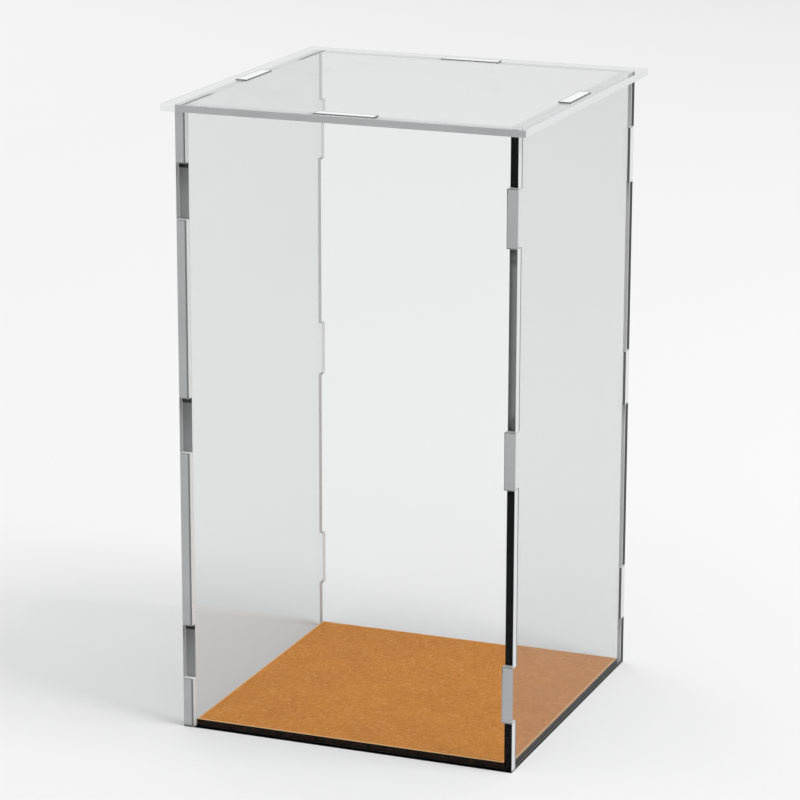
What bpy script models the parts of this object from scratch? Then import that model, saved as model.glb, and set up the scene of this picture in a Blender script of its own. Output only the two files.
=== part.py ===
# A clear display case: four interlocking wall sheets and a top panel over a thin board.
# Metres, +Z up. The origin is on the ground under the middle of the case, and the front faces -Y.

import math

import bmesh
import bpy
from mathutils import Matrix, Vector

CASE_WIDTH = 0.100  # over the outer faces of opposite walls, the same both ways
WALL_HEIGHT = 0.179
WALL_SHEET = 0.003
TOP_SHEET = 0.002
BASE_SHEET = 0.002
TOP_OVERHANG = 0.003  # how far the top panel stands out past each wall
CORNER_TAB_COUNT = 3
CORNER_TAB_LENGTH = 0.016
CORNER_TAB_SPACING = 0.067  # from the middle of one corner tab to the next
TOP_TAB_LENGTH = 0.017
FIT_GAP = 0.0003  # clearance between sheets that touch

TOP_UNDERSIDE = WALL_HEIGHT + FIT_GAP
TOP_FACE = TOP_UNDERSIDE + TOP_SHEET
JOINT_DEPTH = WALL_SHEET + FIT_GAP  # how deep a notch is, and how far a tab stands out
CUTTER_MARGIN = 0.001  # how far the slot cutters pass through the top panel

WALL_NAMES = ("front_wall", "right_wall", "back_wall", "left_wall")


def clear_scene():
    for item in list(bpy.data.objects):
        bpy.data.objects.remove(item, do_unlink=True)


def make_material(name, colour, roughness, transmission=0.0, ior=1.5):
    material = bpy.data.materials.new(name)
    material.use_nodes = True
    shader = material.node_tree.nodes["Principled BSDF"]
    shader.inputs["Base Color"].default_value = (*colour, 1.0)
    shader.inputs["Roughness"].default_value = roughness
    shader.inputs["Metallic"].default_value = 0.0
    shader.inputs["Transmission Weight"].default_value = transmission
    shader.inputs["IOR"].default_value = ior
    return material


def add_object(name, mesh=None, material=None, parent=None):
    """An object with this mesh, or an empty when it has none."""
    item = bpy.data.objects.new(name, mesh)
    bpy.context.scene.collection.objects.link(item)
    if material and not mesh.materials:
        mesh.materials.append(material)
    item.parent = parent
    return item


def corner_tab_heights():
    """The lower and upper height of each corner tab, from the bottom up."""
    heights = []
    for index in range(CORNER_TAB_COUNT):
        step = index - (CORNER_TAB_COUNT - 1) / 2
        middle = WALL_HEIGHT / 2 + step * CORNER_TAB_SPACING
        heights.append((middle - CORNER_TAB_LENGTH / 2, middle + CORNER_TAB_LENGTH / 2))
    return heights


def wall_outline():
    """A wall seen from outside: its tabs on the left, its notches on the right, its top tab in the middle."""
    left = -CASE_WIDTH / 2
    right = CASE_WIDTH / 2
    recess = left + JOINT_DEPTH
    notch = right - JOINT_DEPTH
    points = [(recess, 0.0), (right, 0.0)]
    for low, high in corner_tab_heights():
        points += [(right, low - FIT_GAP), (notch, low - FIT_GAP)]
        points += [(notch, high + FIT_GAP), (right, high + FIT_GAP)]
    points.append((right, WALL_HEIGHT))
    points += [(TOP_TAB_LENGTH / 2, WALL_HEIGHT), (TOP_TAB_LENGTH / 2, TOP_FACE)]
    points += [(-TOP_TAB_LENGTH / 2, TOP_FACE), (-TOP_TAB_LENGTH / 2, WALL_HEIGHT)]
    points.append((recess, WALL_HEIGHT))
    for low, high in reversed(corner_tab_heights()):
        points += [(recess, high), (left, high), (left, low), (recess, low)]
    return points


def make_wall_mesh():
    """The front wall's sheet, with its outer face on the front of the case."""
    front = -CASE_WIDTH / 2
    shape = bmesh.new()
    corners = [shape.verts.new((x, front, z)) for x, z in wall_outline()]
    outer_face = shape.faces.new(corners)
    extruded = bmesh.ops.extrude_face_region(shape, geom=[outer_face])
    moved = [item for item in extruded["geom"] if isinstance(item, bmesh.types.BMVert)]
    bmesh.ops.translate(shape, verts=moved, vec=(0.0, WALL_SHEET, 0.0))
    bmesh.ops.recalc_face_normals(shape, faces=shape.faces)
    mesh = bpy.data.meshes.new("wall")
    shape.to_mesh(mesh)
    shape.free()
    return mesh


def add_block(shape, size, centre):
    """A rectangular block of this size around this centre."""
    place = Matrix.Translation(Vector(centre)) @ Matrix.Diagonal((*size, 1.0))
    bmesh.ops.create_cube(shape, size=1.0, matrix=place)


def make_block_mesh(name, size, centre):
    shape = bmesh.new()
    add_block(shape, size, centre)
    mesh = bpy.data.meshes.new(name)
    shape.to_mesh(mesh)
    shape.free()
    return mesh


def make_walls(material, cover):
    """Four identical sheets, each a quarter turn round from the one before."""
    mesh = make_wall_mesh()
    for index, name in enumerate(WALL_NAMES):
        wall = add_object(name, mesh, material, cover)
        wall.rotation_euler.z = math.radians(90.0 * index)


def make_slot_cutter():
    """Four blocks, one for the slot over each wall's top tab."""
    length = TOP_TAB_LENGTH + 2 * FIT_GAP
    width = WALL_SHEET + 2 * FIT_GAP
    height = TOP_SHEET + 2 * CUTTER_MARGIN
    outward = CASE_WIDTH / 2 - WALL_SHEET / 2
    middle_height = TOP_UNDERSIDE + TOP_SHEET / 2
    shape = bmesh.new()
    for side in (-1, 1):
        add_block(shape, (length, width, height), (0.0, side * outward, middle_height))
        add_block(shape, (width, length, height), (side * outward, 0.0, middle_height))
    mesh = bpy.data.meshes.new("slot_cutter")
    shape.to_mesh(mesh)
    shape.free()
    cutter = add_object("slot_cutter", mesh)
    cutter.hide_render = True
    cutter.display_type = "WIRE"
    return cutter


def make_top_panel(material, lift):
    width = CASE_WIDTH + 2 * TOP_OVERHANG
    centre = (0.0, 0.0, TOP_UNDERSIDE + TOP_SHEET / 2)
    mesh = make_block_mesh("top_panel", (width, width, TOP_SHEET), centre)
    panel = add_object("top_panel", mesh, material, lift)
    slots = panel.modifiers.new("slots", "BOOLEAN")
    slots.operation = "DIFFERENCE"
    slots.solver = "EXACT"
    slots.object = make_slot_cutter()
    slots.object.parent = lift


def make_base_board(material):
    width = CASE_WIDTH - 2 * (WALL_SHEET + FIT_GAP)
    centre = (0.0, 0.0, BASE_SHEET / 2)
    mesh = make_block_mesh("base_board", (width, width, BASE_SHEET), centre)
    add_object("base_board", mesh, material)


def main():
    clear_scene()
    wall_acrylic = make_material("wall_acrylic", (0.94, 0.96, 0.96), 0.03, 1.0, 1.49)
    top_acrylic = make_material("top_acrylic", (0.95, 0.97, 0.97), 0.03, 1.0, 1.49)
    fibreboard = make_material("fibreboard", (0.55, 0.22, 0.06), 0.75)
    cover_lift = add_object("cover_lift")
    top_panel_lift = add_object("top_panel_lift", parent=cover_lift)
    make_base_board(fibreboard)
    make_walls(wall_acrylic, cover_lift)
    make_top_panel(top_acrylic, top_panel_lift)


main()
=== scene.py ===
# Looks for a clear display case: four interlocking walls and a top panel over a thin board.
# Metres, +Z up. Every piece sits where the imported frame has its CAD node.

import math

import bmesh
import bpy
from mathutils import Matrix, Vector


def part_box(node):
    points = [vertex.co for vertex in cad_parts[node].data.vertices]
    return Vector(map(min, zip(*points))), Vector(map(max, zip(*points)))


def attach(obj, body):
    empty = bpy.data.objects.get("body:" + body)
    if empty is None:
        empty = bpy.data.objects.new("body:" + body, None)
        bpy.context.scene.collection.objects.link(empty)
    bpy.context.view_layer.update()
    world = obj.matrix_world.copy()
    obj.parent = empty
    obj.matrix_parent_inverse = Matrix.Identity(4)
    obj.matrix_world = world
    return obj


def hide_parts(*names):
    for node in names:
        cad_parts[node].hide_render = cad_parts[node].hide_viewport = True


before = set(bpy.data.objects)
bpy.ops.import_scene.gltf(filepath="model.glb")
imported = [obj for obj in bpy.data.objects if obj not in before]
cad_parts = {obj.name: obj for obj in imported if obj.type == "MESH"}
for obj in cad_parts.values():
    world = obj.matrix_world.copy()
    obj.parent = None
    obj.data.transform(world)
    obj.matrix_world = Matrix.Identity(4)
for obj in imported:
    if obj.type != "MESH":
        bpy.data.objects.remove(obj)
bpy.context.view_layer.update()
print("frame loaded,", len(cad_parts), "nodes")


# Small helpers for node trees

def addNode(tree, kind, inputs=None, **settings):
    # inputs maps a socket's name or number to another socket or to a plain value
    node = tree.nodes.new("ShaderNode" + kind)
    for name, value in settings.items():
        setattr(node, name, value)
    for key, value in (inputs or {}).items():
        if isinstance(value, bpy.types.NodeSocket):
            tree.links.new(value, node.inputs[key])
        else:
            node.inputs[key].default_value = value
    return node


def maths(tree, operation, *values):
    return addNode(tree, "Math", dict(enumerate(values)), operation=operation).outputs[0]


def remap(tree, value, fromLow, fromHigh, toLow=0.0, toHigh=1.0):
    sockets = {0: value, 1: fromLow, 2: fromHigh, 3: toLow, 4: toHigh}
    return addNode(tree, "MapRange", sockets, interpolation_type="SMOOTHSTEP").outputs[0]


def stretch(tree, vector, scale, turn=(0.0, 0.0, 0.0)):
    return addNode(tree, "Mapping", {"Vector": vector, "Rotation": turn, "Scale": scale}).outputs[0]


def noise(tree, vector, scale=1.0, detail=2.0, roughness=0.5, distortion=0.0):
    sockets = {"Vector": vector, "Scale": scale, "Detail": detail}
    sockets.update({"Roughness": roughness, "Distortion": distortion})
    return addNode(tree, "TexNoise", sockets).outputs["Fac"]


def mixColours(tree, factor, first, second):
    return addNode(tree, "Mix", {0: factor, 6: first, 7: second}, data_type="RGBA").outputs[2]


def addBump(tree, height, strength, distance):
    return addNode(tree, "Bump", {"Strength": strength, "Distance": distance, "Height": height}).outputs[0]


def sheetPlace(tree):
    # where a point lies on its own flat sheet, as keepPlace noted it
    return addNode(tree, "Attribute", attribute_name="sheetPlace").outputs["Vector"]


def objectPlace(tree):
    return addNode(tree, "TexCoord").outputs["Object"]


def alongAxis(tree, place, axis):
    return addNode(tree, "SeparateXYZ", {0: place}).outputs[axis]


def slantOf(tree):
    # 0 where a surface is looked straight into, and 1 where it is seen from its side
    return addNode(tree, "LayerWeight", {"Blend": 0.5}).outputs["Facing"]


def startGroup(name, inputs, outputs):
    tree = bpy.data.node_groups.new(name, "ShaderNodeTree")
    for label, kind, value in inputs:
        socket = tree.interface.new_socket(label, in_out="INPUT", socket_type="NodeSocket" + kind)
        if value is not None:
            socket.default_value = value
    for label, kind in outputs:
        tree.interface.new_socket(label, in_out="OUTPUT", socket_type="NodeSocket" + kind)
    return tree, tree.nodes.new("NodeGroupInput").outputs, tree.nodes.new("NodeGroupOutput").inputs


def placeGroup(tree, group, inputs):
    return addNode(tree, "Group", inputs, node_tree=group).outputs


def startMaterial(name):
    material = bpy.data.materials.new(name)
    material.use_nodes = True
    material.node_tree.nodes.clear()
    return material, material.node_tree


def finishMaterial(tree, shader):
    addNode(tree, "OutputMaterial", {"Surface": shader})


# Effects that several materials share

wear = {
    "smearPatch": 24.0,  # as the other patches, the wipe, the hairline and the wave, a noise scale
    "smearRange": (0.52, 0.74),
    "wipe": (60.0, 60.0, 900.0),
    "wipeTurn": (0.0, 0.5, 0.0),
    "hairline": (14.0, 14.0, 420.0),
    "hairlineTurn": (0.0, 0.9, 0.0),
    "hairlineWidth": 0.012,
    "hairlineDepth": -0.05,
    "hairlinePatch": 55.0,
    "hairlineRange": (0.56, 0.66),
    "wave": 16.0,
}


def makeSheetWear():
    # what handling leaves on a polished face: wiped smears, hairlines and a slight waviness
    tree, given, out = startGroup(
        "sheetWear",
        [("Place", "Vector", None), ("Smears", "Float", 0.03), ("Base", "Float", 0.004)],
        [("Roughness", "Float"), ("Height", "Float")],
    )
    place = given["Place"]
    cloud = noise(tree, place, wear["smearPatch"], detail=4.0, roughness=0.55, distortion=0.6)
    patches = remap(tree, cloud, *wear["smearRange"])
    wiped = noise(tree, stretch(tree, place, wear["wipe"], wear["wipeTurn"]), detail=3.0)
    smear = maths(tree, "MULTIPLY", patches, wiped)
    roughness = maths(tree, "MULTIPLY_ADD", smear, given["Smears"], given["Base"])
    tree.links.new(roughness, out["Roughness"])

    lines = noise(tree, stretch(tree, place, wear["hairline"], wear["hairlineTurn"]), detail=1.0)
    lineGap = maths(tree, "ABSOLUTE", maths(tree, "SUBTRACT", lines, 0.5))
    hairline = remap(tree, lineGap, 0.0, wear["hairlineWidth"], 1.0, 0.0)
    where = remap(tree, noise(tree, place, wear["hairlinePatch"]), *wear["hairlineRange"])
    scratch = maths(tree, "MULTIPLY", hairline, where)
    waves = noise(tree, place, wear["wave"], detail=1.0)
    tree.links.new(maths(tree, "MULTIPLY_ADD", scratch, wear["hairlineDepth"], waves), out["Height"])
    return tree


laser = {
    "ridge": (2600.0, 90.0, 2600.0),  # noise scales, as the next one
    "slow": 70.0,
    "ridgeShare": 0.35,
}


def makeLaserLines():
    # the fine ridges that a laser leaves across a cut, and slow changes of shade along it
    tree, given, out = startGroup(
        "laserLines",
        [("Place", "Vector", None)],
        [("Height", "Float"), ("Shade", "Float")],
    )
    place = given["Place"]
    ridges = noise(tree, stretch(tree, place, laser["ridge"]))
    tree.links.new(ridges, out["Height"])
    slow = maths(tree, "MULTIPLY", noise(tree, place, laser["slow"]), 1.0 - laser["ridgeShare"])
    tree.links.new(maths(tree, "MULTIPLY_ADD", ridges, laser["ridgeShare"], slow), out["Shade"])
    return tree


sheetWear = makeSheetWear()
laserLines = makeLaserLines()


# Sizes of the wall sheet

wallSheet = {
    "cornerTabs": 3,
    "cornerTabLength": 0.016,
    "cornerTabSpacing": 0.067,  # from the middle of one tab to the next
    "topTabLength": 0.017,
    "fit": 0.00012,  # the gap between sheets that touch
    "arris": 0.00008,
    "dryHeights": (0.055, 0.123, 0.300, 0.150),  # round which a recess sits dry: the back one never does
    "patternStep": 0.37,  # moves the wear along, so that no two walls share it
}
wallLow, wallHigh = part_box("front_wall")
panelLow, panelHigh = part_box("top_panel")
wallThickness = wallHigh.y - wallLow.y
wallHeight = panelLow.z - wallSheet["fit"]
jointDepth = wallThickness + wallSheet["fit"]
near = 0.0002  # less than this apart counts as in line


def cornerTabHeights():
    # the lower and upper height of each corner tab, from the bottom up
    heights = []
    halfLength = wallSheet["cornerTabLength"] / 2
    for index in range(wallSheet["cornerTabs"]):
        step = index - (wallSheet["cornerTabs"] - 1) / 2
        middle = wallHeight / 2 + step * wallSheet["cornerTabSpacing"]
        heights.append((middle - halfLength, middle + halfLength))
    return heights


# Polished faces of the acrylic

acrylicIor = 1.49
clearFace = {
    "headOnTint": (0.9745, 0.976, 0.976, 1.0),
    "wallSlantTint": (0.785, 0.788, 0.79, 1.0),
    "panelSlantTint": (0.985, 0.987, 0.987, 1.0),
    "slantRange": (0.2, 0.9),  # values of slantOf, from the head-on look to the slanted one
    "lampTint": (0.842, 0.845, 0.846, 1.0),
    "mirrorTint": (1.0, 1.0, 1.0, 1.0),
    "mirrorPower": 1.8,
    "mirrorGain": 1.05,
    "smears": 0.005,
    "polish": 0.002,
    "bump": 0.1,
    "bumpDistance": 0.0002,
}


def letLampsThrough(tree, shader):
    # rays from lamps and from matt surfaces pass straight through, so what stands inside is lit evenly
    lampPass = addNode(tree, "BsdfTransparent", {"Color": clearFace["lampTint"]}).outputs[0]
    rays = addNode(tree, "LightPath").outputs
    for kind in ("Is Shadow Ray", "Is Diffuse Ray"):
        shader = addNode(tree, "MixShader", {0: rays[kind], 1: shader, 2: lampPass}).outputs[0]
    return shader


def makeClearFace(name, slantTint):
    material, tree = startMaterial(name)
    marks = placeGroup(tree, sheetWear, {
        "Place": sheetPlace(tree),
        "Smears": clearFace["smears"],
        "Base": clearFace["polish"],
    })
    bump = addBump(tree, marks["Height"], clearFace["bump"], clearFace["bumpDistance"])
    finish = {"Roughness": marks["Roughness"], "Normal": bump}
    slant = remap(tree, slantOf(tree), *clearFace["slantRange"])
    tint = mixColours(tree, slant, clearFace["headOnTint"], slantTint)
    through = addNode(tree, "BsdfRefraction", {"Color": tint, "IOR": acrylicIor, **finish})
    mirror = addNode(tree, "BsdfAnisotropic", {"Color": clearFace["mirrorTint"], **finish})
    fresnel = addNode(tree, "Fresnel", {"IOR": acrylicIor, "Normal": bump}).outputs[0]
    share = maths(tree, "POWER", fresnel, clearFace["mirrorPower"])
    share = maths(tree, "MULTIPLY", share, clearFace["mirrorGain"])
    glass = addNode(tree, "MixShader", {0: share, 1: through.outputs[0], 2: mirror.outputs[0]})
    finishMaterial(tree, letLampsThrough(tree, glass.outputs[0]))
    return material


# Cut edges of the acrylic

cutEdge = {
    "tone": (0.36, 0.365, 0.37, 1.0),
    "toneLight": (0.52, 0.525, 0.53, 1.0),
    # painted sheen: the colour a cut takes when seen from the side, lighter than straight on
    "slantSheenTone": (0.68, 0.685, 0.69, 1.0),
    # painted light: top edges face the lamps overhead and are painted lighter still from the side
    "topEdgeLitSheenTone": (0.88, 0.885, 0.89, 1.0),
    "slantRange": (0.3, 0.62),
    "roughness": 0.34,
    "bump": 0.35,
    "bumpDistance": 0.0001,
    "insideTone": (0.93, 0.935, 0.94, 1.0),
    "tabEndInsideTone": (0.46, 0.46, 0.465, 1.0),
    # painted shade: seen from inside, a wall's end is near black straight on, for the dark seen down the
    # sheet
    "endInsideShadeTone": (0.06, 0.06, 0.06, 1.0),
    "slotInsideTone": (0.05, 0.05, 0.05, 1.0),
    "insideSlantRange": (0.45, 0.7),
    # painted shade where the cuts meet the ground: near black, and the bottom cut's inside too
    "groundShadeTone": (0.012, 0.012, 0.012, 1.0),
    "groundShadeHeight": 0.0010,
    # painted shade: a dark broken line on the left wall's top edge, under the panel
    "topShadeTone": (0.03, 0.03, 0.03, 1.0),
    "topShadeDepths": (0.0013, 0.00091),  # from the inner face, where the line starts and is full
    "topShadeFrom": (0.033, 0.035),  # from the middle of the wall
    "topShadeGrain": 320.0,
    "topShadeRagged": 0.006,
    # painted light on the rim past the left wall
    "litRimEndTone": (0.95, 0.955, 0.96, 1.0),
    "litRimEndShares": (0.55, 0.45),  # of the wall's thickness, from its outer face
    # painted shade along the inner side of a wall's end
    "innerSideShadeTone": (0.17, 0.17, 0.175, 1.0),
    "innerSideShadeShares": (0.78, 0.86),
}


def slantMix(tree, headOn, slanted, start, end):
    # one tone when looked straight into, and another from the side
    return mixColours(tree, remap(tree, slantOf(tree), start, end), headOn, slanted)


def addInside(tree, outside, tone, kind="Diffuse"):
    # seen from inside the sheet, a cut is a frosted layer: Translucent where light comes from behind it
    inside = addNode(tree, "Bsdf" + kind, {"Color": tone}).outputs[0]
    backfacing = addNode(tree, "NewGeometry").outputs["Backfacing"]
    return addNode(tree, "MixShader", {0: backfacing, 1: outside, 2: inside}).outputs[0]


def makeCutEdge(
    name, slantSheenTone, insideTone, insideKind="Diffuse", insideSlants=False, mark=None, markTone=None
):
    # an open laser-cut edge: grey when looked straight into, with a painted sheen that makes it bright
    # from the side, and painted shade where it meets the ground
    material, tree = startMaterial(name)
    lines = placeGroup(tree, laserLines, {"Place": sheetPlace(tree)})
    tone = mixColours(tree, lines["Shade"], cutEdge["tone"], cutEdge["toneLight"])
    tone = slantMix(tree, tone, slantSheenTone, *cutEdge["slantRange"])
    # painted shade: near black within this height of the ground
    clearOfGroundShade = remap(tree, alongAxis(tree, objectPlace(tree), "Z"), 0.0, cutEdge["groundShadeHeight"])
    tone = mixColours(tree, clearOfGroundShade, cutEdge["groundShadeTone"], tone)
    if mark:
        tone = mixColours(tree, mark(tree), tone, markTone)
    outside = addNode(tree, "BsdfPrincipled", {
        "Base Color": tone,
        "Roughness": cutEdge["roughness"],
        "IOR": acrylicIor,
        "Normal": addBump(tree, lines["Height"], cutEdge["bump"], cutEdge["bumpDistance"]),
    })
    if insideSlants:
        insideTone = slantMix(tree, insideTone, cutEdge["insideTone"], *cutEdge["insideSlantRange"])
    finishMaterial(tree, addInside(tree, outside.outputs[0], insideTone, insideKind))
    return material


def markTopShadeLine(tree):
    # near its corners, the left wall's top edge gets a painted shade line along its inner side, under the
    # panel, which shows at a low angle
    place = objectPlace(tree)
    x = alongAxis(tree, place, "X")
    fromMiddle = maths(tree, "ABSOLUTE", alongAxis(tree, place, "Y"))
    innerFace = wallLow.x + wallThickness
    startDepth, fullDepth = cutEdge["topShadeDepths"]
    line = remap(tree, x, innerFace - startDepth, innerFace - fullDepth)
    grain = noise(tree, place, cutEdge["topShadeGrain"])
    ragged = maths(tree, "MULTIPLY_ADD", grain, cutEdge["topShadeRagged"], fromMiddle)
    # pressed holds the painted shade line
    pressed = maths(tree, "MULTIPLY", line, remap(tree, ragged, *cutEdge["topShadeFrom"]))
    onWall = remap(tree, x, innerFace + near, innerFace + near / 2)
    pressed = maths(tree, "MULTIPLY", pressed, onWall)
    lowAngle = remap(tree, slantOf(tree), *cutEdge["insideSlantRange"])
    return maths(tree, "MULTIPLY", pressed, lowAngle)


def markLitRimEnd(tree):
    # past the left wall nothing stands behind the rim, so its end there gets painted light, for the light
    # that comes through it
    x = alongAxis(tree, objectPlace(tree), "X")
    start, end = [wallLow.x + wallThickness * share for share in cutEdge["litRimEndShares"]]
    return remap(tree, x, start, end)


def markInnerSideShade(tree):
    # the end of a wall gets a painted shade line along its inner side, where its neighbour's face meets it
    across = alongAxis(tree, sheetPlace(tree), "Y")
    start, end = [wallLow.y + wallThickness * share for share in cutEdge["innerSideShadeShares"]]
    return remap(tree, across, start, end)


# Cuts that are shut in a joint

shadedRecess = {
    # painted shade, near black, with a paler painted tone where the joint sits dry
    "tone": (0.010, 0.010, 0.010, 1.0),
    "dryTone": (0.42, 0.42, 0.42, 1.0),
    # painted sheen from the side, as on an open cut
    "slantSheenTone": (0.68, 0.68, 0.68, 1.0),
    "slantRange": (0.35, 0.6),
    "dryReach": (0.034, 0.026),  # either way along the cut, where it ends and where it is full
    "dryDepths": (0.0028, 0.0012),  # from the outer face
    "dryDepthLeast": 0.45,
    "dryShades": (0.1, 0.5),
    "dryShadeLeast": 0.5,
    "raggedGrain": 260.0,
    "ragged": 0.012,
    "roughness": 0.4,
    "specular": 0.02,
}


def makeShadedRecess(name):
    # a cut that meets its neighbour in a joint: near-black painted shade, for the dark seen down the
    # inside of the sheet, paler where the joint sits dry
    material, tree = startMaterial(name)
    place = sheetPlace(tree)
    lines = placeGroup(tree, laserLines, {"Place": place})
    fromDry = maths(tree, "ABSOLUTE", alongAxis(tree, place, "Z"))
    grain = noise(tree, place, shadedRecess["raggedGrain"])
    ragged = maths(tree, "MULTIPLY_ADD", grain, shadedRecess["ragged"], fromDry)
    streaks = remap(tree, lines["Shade"], *shadedRecess["dryShades"], shadedRecess["dryShadeLeast"], 1.0)
    dry = maths(tree, "MULTIPLY", remap(tree, ragged, *shadedRecess["dryReach"]), streaks)
    inner, outer = [wallLow.y + depth for depth in shadedRecess["dryDepths"]]
    outward = remap(tree, alongAxis(tree, place, "Y"), inner, outer, shadedRecess["dryDepthLeast"], 1.0)
    dry = maths(tree, "MULTIPLY", dry, outward)
    tone = mixColours(tree, dry, shadedRecess["tone"], shadedRecess["dryTone"])
    outside = addNode(tree, "BsdfPrincipled", {
        "Base Color": slantMix(tree, tone, shadedRecess["slantSheenTone"], *shadedRecess["slantRange"]),
        "Roughness": shadedRecess["roughness"],
        "IOR": acrylicIor,
        "Specular IOR Level": shadedRecess["specular"],
    })
    finishMaterial(tree, addInside(tree, outside.outputs[0], cutEdge["insideTone"]))
    return material


notchEdge = {
    "tone": (0.46, 0.46, 0.465, 1.0),
    "shadedTone": (0.05, 0.05, 0.05, 1.0),
    "insideTone": (0.10, 0.10, 0.10, 1.0),
    "shadeStart": 0.1,  # as shares of the tab's length, from its lower end
    "shadeMost": 0.4,
    "lineShares": (0.87, 0.91),
    "mottle": 0.4,
    "mottleOff": 0.15,
    "roughness": 0.4,
    "specular": 0.02,
}


def makeNotchEdge(name):
    # the bottom of a notch, seen through the tab that fills it: shaded under the notch's upper side
    material, tree = startMaterial(name)
    lines = placeGroup(tree, laserLines, {"Place": sheetPlace(tree)})
    firstTabLow = cornerTabHeights()[0][0]
    aboveFirst = maths(tree, "SUBTRACT", alongAxis(tree, objectPlace(tree), "Z"), firstTabLow)
    inTab = maths(tree, "FLOORED_MODULO", aboveFirst, wallSheet["cornerTabSpacing"])
    tabLength = wallSheet["cornerTabLength"]
    slow = remap(tree, inTab, tabLength * notchEdge["shadeStart"], tabLength, 0.0, notchEdge["shadeMost"])
    line = remap(tree, inTab, *[tabLength * share for share in notchEdge["lineShares"]])
    mottled = maths(tree, "MULTIPLY_ADD", lines["Shade"], notchEdge["mottle"], slow)
    shaded = maths(tree, "MAXIMUM", line, maths(tree, "SUBTRACT", mottled, notchEdge["mottleOff"]))
    outside = addNode(tree, "BsdfPrincipled", {
        "Base Color": mixColours(tree, shaded, notchEdge["tone"], notchEdge["shadedTone"]),
        "Roughness": notchEdge["roughness"],
        "IOR": acrylicIor,
        "Specular IOR Level": notchEdge["specular"],
    })
    inside = slantMix(tree, notchEdge["insideTone"], cutEdge["insideTone"], *cutEdge["insideSlantRange"])
    finishMaterial(tree, addInside(tree, outside.outputs[0], inside))
    return material


wallFinishes = {
    "clear": makeClearFace("wall_face", clearFace["wallSlantTint"]),
    "cut": makeCutEdge("cut_edge", cutEdge["slantSheenTone"], cutEdge["insideTone"], "Translucent"),
    "recess": makeShadedRecess("shaded_recess_edge"),
    "notch": makeNotchEdge("notch_edge"),
    "tabEnd": makeCutEdge("tab_end", cutEdge["slantSheenTone"], cutEdge["tabEndInsideTone"]),
    # top edges: painted light from above, and on the left wall a painted shade line near its corners
    "topEdge": makeCutEdge(
        "top_edge", cutEdge["topEdgeLitSheenTone"], cutEdge["insideTone"],
        mark=markTopShadeLine, markTone=cutEdge["topShadeTone"],
    ),
    # the bottom cut: painted shade inside and out
    "foot": makeCutEdge("shaded_foot_edge", cutEdge["slantSheenTone"], cutEdge["groundShadeTone"]),
    "end": makeCutEdge(
        "end_edge", cutEdge["slantSheenTone"], cutEdge["endInsideShadeTone"], insideSlants=True,
        mark=markInnerSideShade, markTone=cutEdge["innerSideShadeTone"],
    ),
}
panelFinishes = {
    "clear": makeClearFace("panel_face", clearFace["panelSlantTint"]),
    "rim": makeCutEdge(
        "rim_edge", cutEdge["slantSheenTone"], cutEdge["insideTone"], "Translucent",
        mark=markLitRimEnd, markTone=cutEdge["litRimEndTone"],
    ),
    "slot": makeCutEdge("slot_edge", cutEdge["slantSheenTone"], cutEdge["slotInsideTone"]),
}
print("acrylic materials made")


# Shape helpers

faceOn = 0.99  # a face's normal is this much along an axis when the face lies square to it
mostlyOn = 0.9  # the same, with the arris next to the face taken in
upward = 0.6  # a normal that points up more than this belongs to an upper face
flatAngle = 0.01  # radians: faces that meet at less than this are one flat face


def finishPiece(shape, name, finishes, body, node):
    mesh = bpy.data.meshes.new(name)
    shape.to_mesh(mesh)
    shape.free()
    for material in finishes.values():
        mesh.materials.append(material)
    piece = bpy.data.objects.new(name, mesh)
    bpy.context.scene.collection.objects.link(piece)
    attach(piece, body)
    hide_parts(node)
    return piece


def paint(face, finishes, name):
    face.material_index = list(finishes).index(name)


def softenEdges(shape, edges, width):
    bmesh.ops.bevel(
        shape, geom=edges, offset=width, offset_type="OFFSET", affect="EDGES",
        segments=2, profile=0.5, material=-1, clamp_overlap=True,
    )


def sharpEdges(shape, leastDegrees=60.0):
    return [edge for edge in shape.edges if math.degrees(edge.calc_face_angle(0.0)) > leastDegrees]


def thicken(shape, faces, thickness):
    # flat faces become a closed sheet, with its other side this far away
    grown = bmesh.ops.extrude_face_region(shape, geom=faces)
    moved = [item for item in grown["geom"] if isinstance(item, bmesh.types.BMVert)]
    bmesh.ops.translate(shape, verts=moved, vec=thickness)
    bmesh.ops.recalc_face_normals(shape, faces=shape.faces)


def keepPlace(shape, turn, shift):
    # each corner keeps where it lies on its own flat sheet, so patterns follow the sheet when it is turned
    layer = shape.verts.layers.float_vector.new("sheetPlace")
    for vert in shape.verts:
        vert[layer] = turn @ vert.co + shift


# Walls

def wallOutline():
    # seen from outside: tabs down the left, notches down the right, one tab on top
    left, right = wallLow.x, wallHigh.x
    recess, notch = left + jointDepth, right - jointDepth
    halfTab, fit = wallSheet["topTabLength"] / 2, wallSheet["fit"]
    points = [(recess, wallLow.z), (right, wallLow.z)]
    for low, high in cornerTabHeights():
        points += [(right, low - fit), (notch, low - fit), (notch, high + fit), (right, high + fit)]
    points += [(right, wallHeight), (halfTab, wallHeight), (halfTab, wallHigh.z)]
    points += [(-halfTab, wallHigh.z), (-halfTab, wallHeight), (recess, wallHeight)]
    for low, high in reversed(cornerTabHeights()):
        points += [(recess, high), (left, high), (left, low), (recess, low)]
    return [(x, wallLow.y, z) for x, z in points]


def wallFinishFor(face):
    # polished faces stay clear, open cuts are frosted, and cuts shut in a joint or on the ground get
    # painted shade
    centre, normal = face.calc_center_median(), face.normal
    inTab = centre.x < wallLow.x + jointDepth - near
    if abs(normal.y) > faceOn:
        return "clear"
    if centre.z < near:
        return "foot"
    if centre.z > wallHeight - near:
        return "topEdge"
    if normal.x < -mostlyOn:
        return "tabEnd" if inTab else "recess"
    if normal.x > mostlyOn and centre.z < wallHeight:
        return "notch" if centre.x < wallHigh.x - near else "end"
    # the sides under and over each tab take the recess's painted shade line
    if normal.z < -mostlyOn or (normal.z > mostlyOn and inTab):
        return "recess"
    return "cut"


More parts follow.
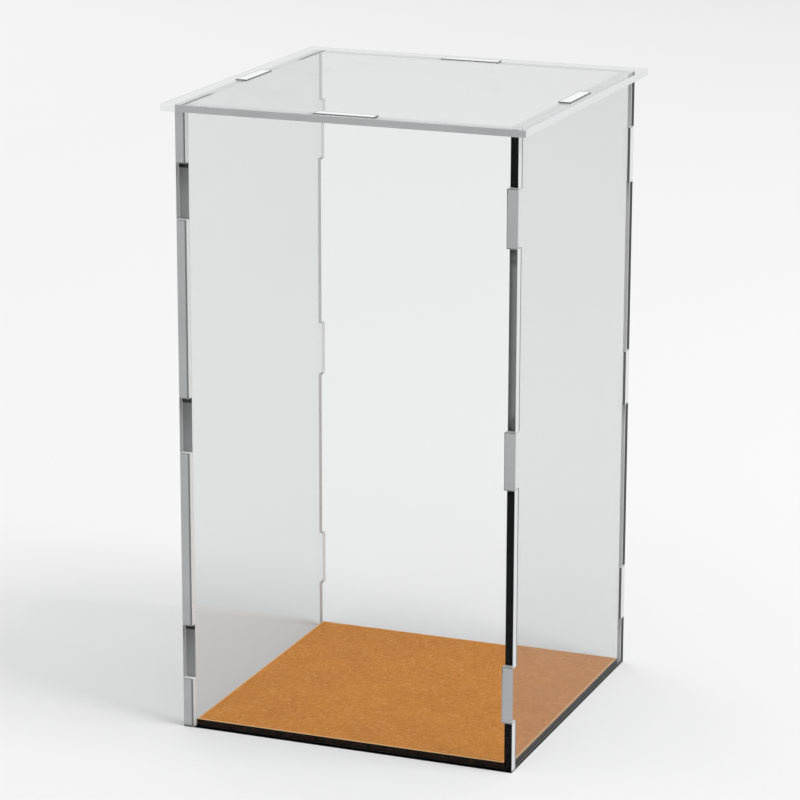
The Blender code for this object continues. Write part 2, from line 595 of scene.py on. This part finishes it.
def makeWall(node, quarterTurns):
    shape = bmesh.new()
    outline = shape.faces.new([shape.verts.new(corner) for corner in wallOutline()])
    thicken(shape, [outline], (0.0, wallThickness, 0.0))
    softenEdges(shape, sharpEdges(shape), wallSheet["arris"])
    for face in shape.faces:
        paint(face, wallFinishes, wallFinishFor(face))
    shift = Vector((wallSheet["patternStep"] * quarterTurns, 0.0, -wallSheet["dryHeights"][quarterTurns]))
    keepPlace(shape, Matrix.Identity(3), shift)
    turn = Matrix.Rotation(math.radians(90.0 * quarterTurns), 3, "Z")
    bmesh.ops.rotate(shape, verts=shape.verts, cent=(0.0, 0.0, 0.0), matrix=turn)
    return finishPiece(shape, node + "_sheet", wallFinishes, "cover", node)


for quarterTurns, node in enumerate(("front_wall", "right_wall", "back_wall", "left_wall")):
    makeWall(node, quarterTurns)
print("four walls cut")


# Top panel

topPanel = {
    "slotPlay": 0.0003,
    "arris": 0.00010,
    "patternTurn": Matrix(((1.0, 0.0, 0.0), (0.0, 0.0, 1.0), (0.0, 1.0, 0.0))),  # upright, as a wall is
    "patternShift": Vector((0.53, 0.0, 0.94)),
}


def cutSlots(shape):
    # four slots, each a block taken out by slicing the panel and deleting what lies inside
    halfLength = wallSheet["topTabLength"] / 2 + topPanel["slotPlay"]
    inner = wallHigh.x - wallThickness - topPanel["slotPlay"]
    outer = wallHigh.x + topPanel["slotPlay"]
    for axis in (0, 1):
        for distance in (-outer, -inner, -halfLength, halfLength, inner, outer):
            point, normal = Vector(), Vector()
            point[axis], normal[axis] = distance, 1.0
            geom = shape.verts[:] + shape.edges[:] + shape.faces[:]
            bmesh.ops.bisect_plane(shape, geom=geom, plane_co=point, plane_no=normal)
    holes = []
    for face in shape.faces:
        centre = face.calc_center_median()
        along, outward = sorted((abs(centre.x), abs(centre.y)))
        if inner < outward < outer and along < halfLength:
            holes.append(face)
    bmesh.ops.delete(shape, geom=holes, context="FACES")


def panelFinishFor(face):
    centre = face.calc_center_median()
    if abs(face.normal.z) > faceOn:
        return "clear"
    onRim = max(abs(centre.x), abs(centre.y)) > wallHigh.x + 2 * topPanel["slotPlay"]
    return "rim" if onRim else "slot"


def makeTopPanel():
    shape = bmesh.new()
    size = panelHigh - panelLow
    halfSize = Matrix.Diagonal((size.x / 2, size.y / 2, 1.0, 1.0))
    place = Matrix.Translation((0.0, 0.0, panelLow.z)) @ halfSize
    bmesh.ops.create_grid(shape, x_segments=1, y_segments=1, size=1.0, matrix=place)
    cutSlots(shape)
    thicken(shape, shape.faces[:], (0.0, 0.0, size.z))
    sliced = [edge for edge in shape.edges if edge.calc_face_angle(0.0) < flatAngle]
    bmesh.ops.dissolve_edges(shape, edges=sliced, use_verts=True)
    softenEdges(shape, sharpEdges(shape), topPanel["arris"])
    for face in shape.faces:
        paint(face, panelFinishes, panelFinishFor(face))
    keepPlace(shape, topPanel["patternTurn"], topPanel["patternShift"])
    return finishPiece(shape, "top_panel_sheet", panelFinishes, "top", "top_panel")


makeTopPanel()
print("top panel cut")


# Base board

boardSheet = {
    "arris": 0.00018,
    "wallGap": 0.0001,
    "faceTone": (0.74, 0.290, 0.055, 1.0),
    "faceDark": (0.52, 0.175, 0.024, 1.0),
    "facePale": (0.90, 0.50, 0.17, 1.0),
    "blotch": 90.0,  # as the fibres and the char, a noise scale
    "blotchRange": (0.35, 0.65),
    "blotchMost": 0.22,
    "fibre": (1500.0, 480.0, 900.0),
    "fibreTurn": (0.0, 0.0, 0.7),
    "crossFibre": (430.0, 1400.0, 900.0),
    "crossFibreTurn": (0.0, 0.0, 0.4),
    "darkRange": (0.52, 0.68),
    "paleRange": (0.42, 0.28),
    "fibreMost": 0.6,
    "grainRange": (0.3, 0.7),
    "roughness": (0.55, 0.72),
    "specular": 0.12,
    "bump": 0.25,
    "bumpDistance": 0.0001,
    "rimTone": (0.88, 0.55, 0.26, 1.0),
    "rimWidth": 0.0005,
    "edgeTone": (0.006, 0.004, 0.003, 1.0),
    "edgeBrown": (0.040, 0.014, 0.005, 1.0),
    "char": (900.0, 900.0, 160.0),
    "charRange": (0.35, 0.65),
    "brownBand": (0.0008, 0.0003),  # from halfway up, where the brown ends and where it is full
    "edgeRoughness": 0.6,
    "edgeSpecular": 0.15,
    "edgeBump": 0.3,
}
boardLow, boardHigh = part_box("base_board")


def makeBoardFace():
    # pressed wood fibres, fine and short, under a thin brown skin that is paler round its rim
    material, tree = startMaterial("board_face")
    place = objectPlace(tree)
    blotches = noise(tree, place, boardSheet["blotch"], detail=3.0, roughness=0.6)
    along = stretch(tree, place, boardSheet["fibre"], boardSheet["fibreTurn"])
    fibres = noise(tree, along, detail=3.0, roughness=0.65)
    across = stretch(tree, place, boardSheet["crossFibre"], boardSheet["crossFibreTurn"])
    crossFibres = noise(tree, across, detail=3.0, roughness=0.65)
    grain = maths(tree, "MAXIMUM", fibres, crossFibres)
    dark = remap(tree, grain, *boardSheet["darkRange"])
    pale = remap(tree, maths(tree, "MINIMUM", fibres, crossFibres), *boardSheet["paleRange"])

    patchy = remap(tree, blotches, *boardSheet["blotchRange"])
    patchy = maths(tree, "MULTIPLY", patchy, boardSheet["blotchMost"])
    tone = mixColours(tree, patchy, boardSheet["faceTone"], boardSheet["faceDark"])
    dark = maths(tree, "MULTIPLY", dark, boardSheet["fibreMost"])
    tone = mixColours(tree, dark, tone, boardSheet["faceDark"])
    pale = maths(tree, "MULTIPLY", pale, boardSheet["fibreMost"])
    tone = mixColours(tree, pale, tone, boardSheet["facePale"])

    fromMiddle = [maths(tree, "ABSOLUTE", alongAxis(tree, place, axis)) for axis in "XY"]
    outward = maths(tree, "MAXIMUM", *fromMiddle)
    rimStart = boardHigh.x - boardSheet["rimWidth"]
    inRim = remap(tree, outward, rimStart, rimStart + boardSheet["rimWidth"] / 2)
    shader = addNode(tree, "BsdfPrincipled", {
        "Base Color": mixColours(tree, inRim, tone, boardSheet["rimTone"]),
        "Roughness": remap(tree, grain, *boardSheet["grainRange"], *boardSheet["roughness"]),
        "Specular IOR Level": boardSheet["specular"],
        "Normal": addBump(tree, grain, boardSheet["bump"], boardSheet["bumpDistance"]),
    })
    finishMaterial(tree, shader.outputs[0])
    return material


def makeBoardEdge():
    # charred by the laser, with a little brown left halfway up
    material, tree = startMaterial("board_edge")
    place = objectPlace(tree)
    char = noise(tree, stretch(tree, place, boardSheet["char"]), detail=3.0)
    middle = (boardLow.z + boardHigh.z) / 2
    rise = maths(tree, "ABSOLUTE", maths(tree, "SUBTRACT", alongAxis(tree, place, "Z"), middle))
    band = remap(tree, rise, *boardSheet["brownBand"])
    brown = maths(tree, "MULTIPLY", remap(tree, char, *boardSheet["charRange"]), band)
    shader = addNode(tree, "BsdfPrincipled", {
        "Base Color": mixColours(tree, brown, boardSheet["edgeTone"], boardSheet["edgeBrown"]),
        "Roughness": boardSheet["edgeRoughness"],
        "Specular IOR Level": boardSheet["edgeSpecular"],
        "Normal": addBump(tree, char, boardSheet["edgeBump"], boardSheet["bumpDistance"]),
    })
    finishMaterial(tree, shader.outputs[0])
    return material


def makeBoard():
    finishes = {"face": makeBoardFace(), "edge": makeBoardEdge()}
    shape = bmesh.new()
    width = 2 * (wallHigh.x - wallThickness - boardSheet["wallGap"])
    thickness, middle = boardHigh.z - boardLow.z, (boardLow + boardHigh) / 2
    place = Matrix.Translation(middle) @ Matrix.Diagonal((width, width, thickness, 1.0))
    bmesh.ops.create_cube(shape, size=1.0, matrix=place)
    softenEdges(shape, shape.edges[:], boardSheet["arris"])
    for face in shape.faces:
        paint(face, finishes, "face" if face.normal.z > upward else "edge")
    return finishPiece(shape, "base_board_sheet", finishes, "base", "base_board")


makeBoard()
print("base board cut")


# Studio: a pale floor, soft light and the camera

studio = {
    "floorSize": 8.0,
    "floorTone": (0.86, 0.86, 0.86, 1.0),
    "floorToneLight": (0.875, 0.875, 0.875, 1.0),
    "floorCloud": 3.0,
    "floorRoughness": 0.8,
    "worldTone": (1.0, 1.0, 1.0, 1.0),
    "worldLight": 0.70,
    "lights": {
        "keyLight": {"place": (1.40, -0.15, 2.30), "size": 1.0, "power": 33.0},
        "backLight": {"place": (-1.30, 1.10, 0.80), "size": 0.8, "power": 2.8},
    },
    "lightAim": Vector((0.0, 0.0, 0.05)),
    "cameraPlace": (0.34428, -0.88212, 0.34479),
    "cameraTurn": 21.5006,  # degrees, as are the next two
    "cameraDip": 15.0844,
    "cameraRoll": 0.1313,
    "lens": 152.91,
    "sensorWidth": 36.0,
}


def makeFloor():
    material, tree = startMaterial("studio_floor")
    cloud = noise(tree, objectPlace(tree), studio["floorCloud"])
    tone = mixColours(tree, cloud, studio["floorTone"], studio["floorToneLight"])
    finish = {"Base Color": tone, "Roughness": studio["floorRoughness"], "Specular IOR Level": 0.0}
    shader = addNode(tree, "BsdfPrincipled", finish)
    finishMaterial(tree, shader.outputs[0])
    shape = bmesh.new()
    bmesh.ops.create_grid(shape, x_segments=1, y_segments=1, size=studio["floorSize"])
    mesh = bpy.data.meshes.new("studio_floor")
    shape.to_mesh(mesh)
    shape.free()
    mesh.materials.append(material)
    floor = bpy.data.objects.new("studio_floor", mesh)
    bpy.context.scene.collection.objects.link(floor)


def makeLight(name, facts):
    lamp = bpy.data.lights.new(name, "AREA")
    lamp.shape = "SQUARE"
    lamp.size = facts["size"]
    lamp.energy = facts["power"]
    light = bpy.data.objects.new(name, lamp)
    light.location = facts["place"]
    aim = studio["lightAim"] - light.location
    light.rotation_euler = aim.to_track_quat("-Z", "Y").to_euler()
    bpy.context.scene.collection.objects.link(light)


def makeWorld():
    world = bpy.data.worlds.new("studio")
    world.use_nodes = True
    background = world.node_tree.nodes["Background"]
    background.inputs["Color"].default_value = studio["worldTone"]
    background.inputs["Strength"].default_value = studio["worldLight"]
    bpy.context.scene.world = world


def makeCamera():
    camera = bpy.data.objects.new("camera", bpy.data.cameras.new("camera"))
    camera.data.lens = studio["lens"]
    camera.data.sensor_width = studio["sensorWidth"]
    turn = Matrix.Rotation(math.radians(studio["cameraTurn"]), 4, "Z")
    dip = Matrix.Rotation(math.radians(90.0 - studio["cameraDip"]), 4, "X")
    roll = Matrix.Rotation(math.radians(studio["cameraRoll"]), 4, "Z")
    camera.matrix_world = Matrix.Translation(studio["cameraPlace"]) @ turn @ dip @ roll
    bpy.context.scene.collection.objects.link(camera)
    bpy.context.scene.camera = camera


makeFloor()
makeWorld()
for name, facts in studio["lights"].items():
    makeLight(name, facts)
makeCamera()
bpy.context.scene.view_settings.view_transform = "Standard"
print("studio set")
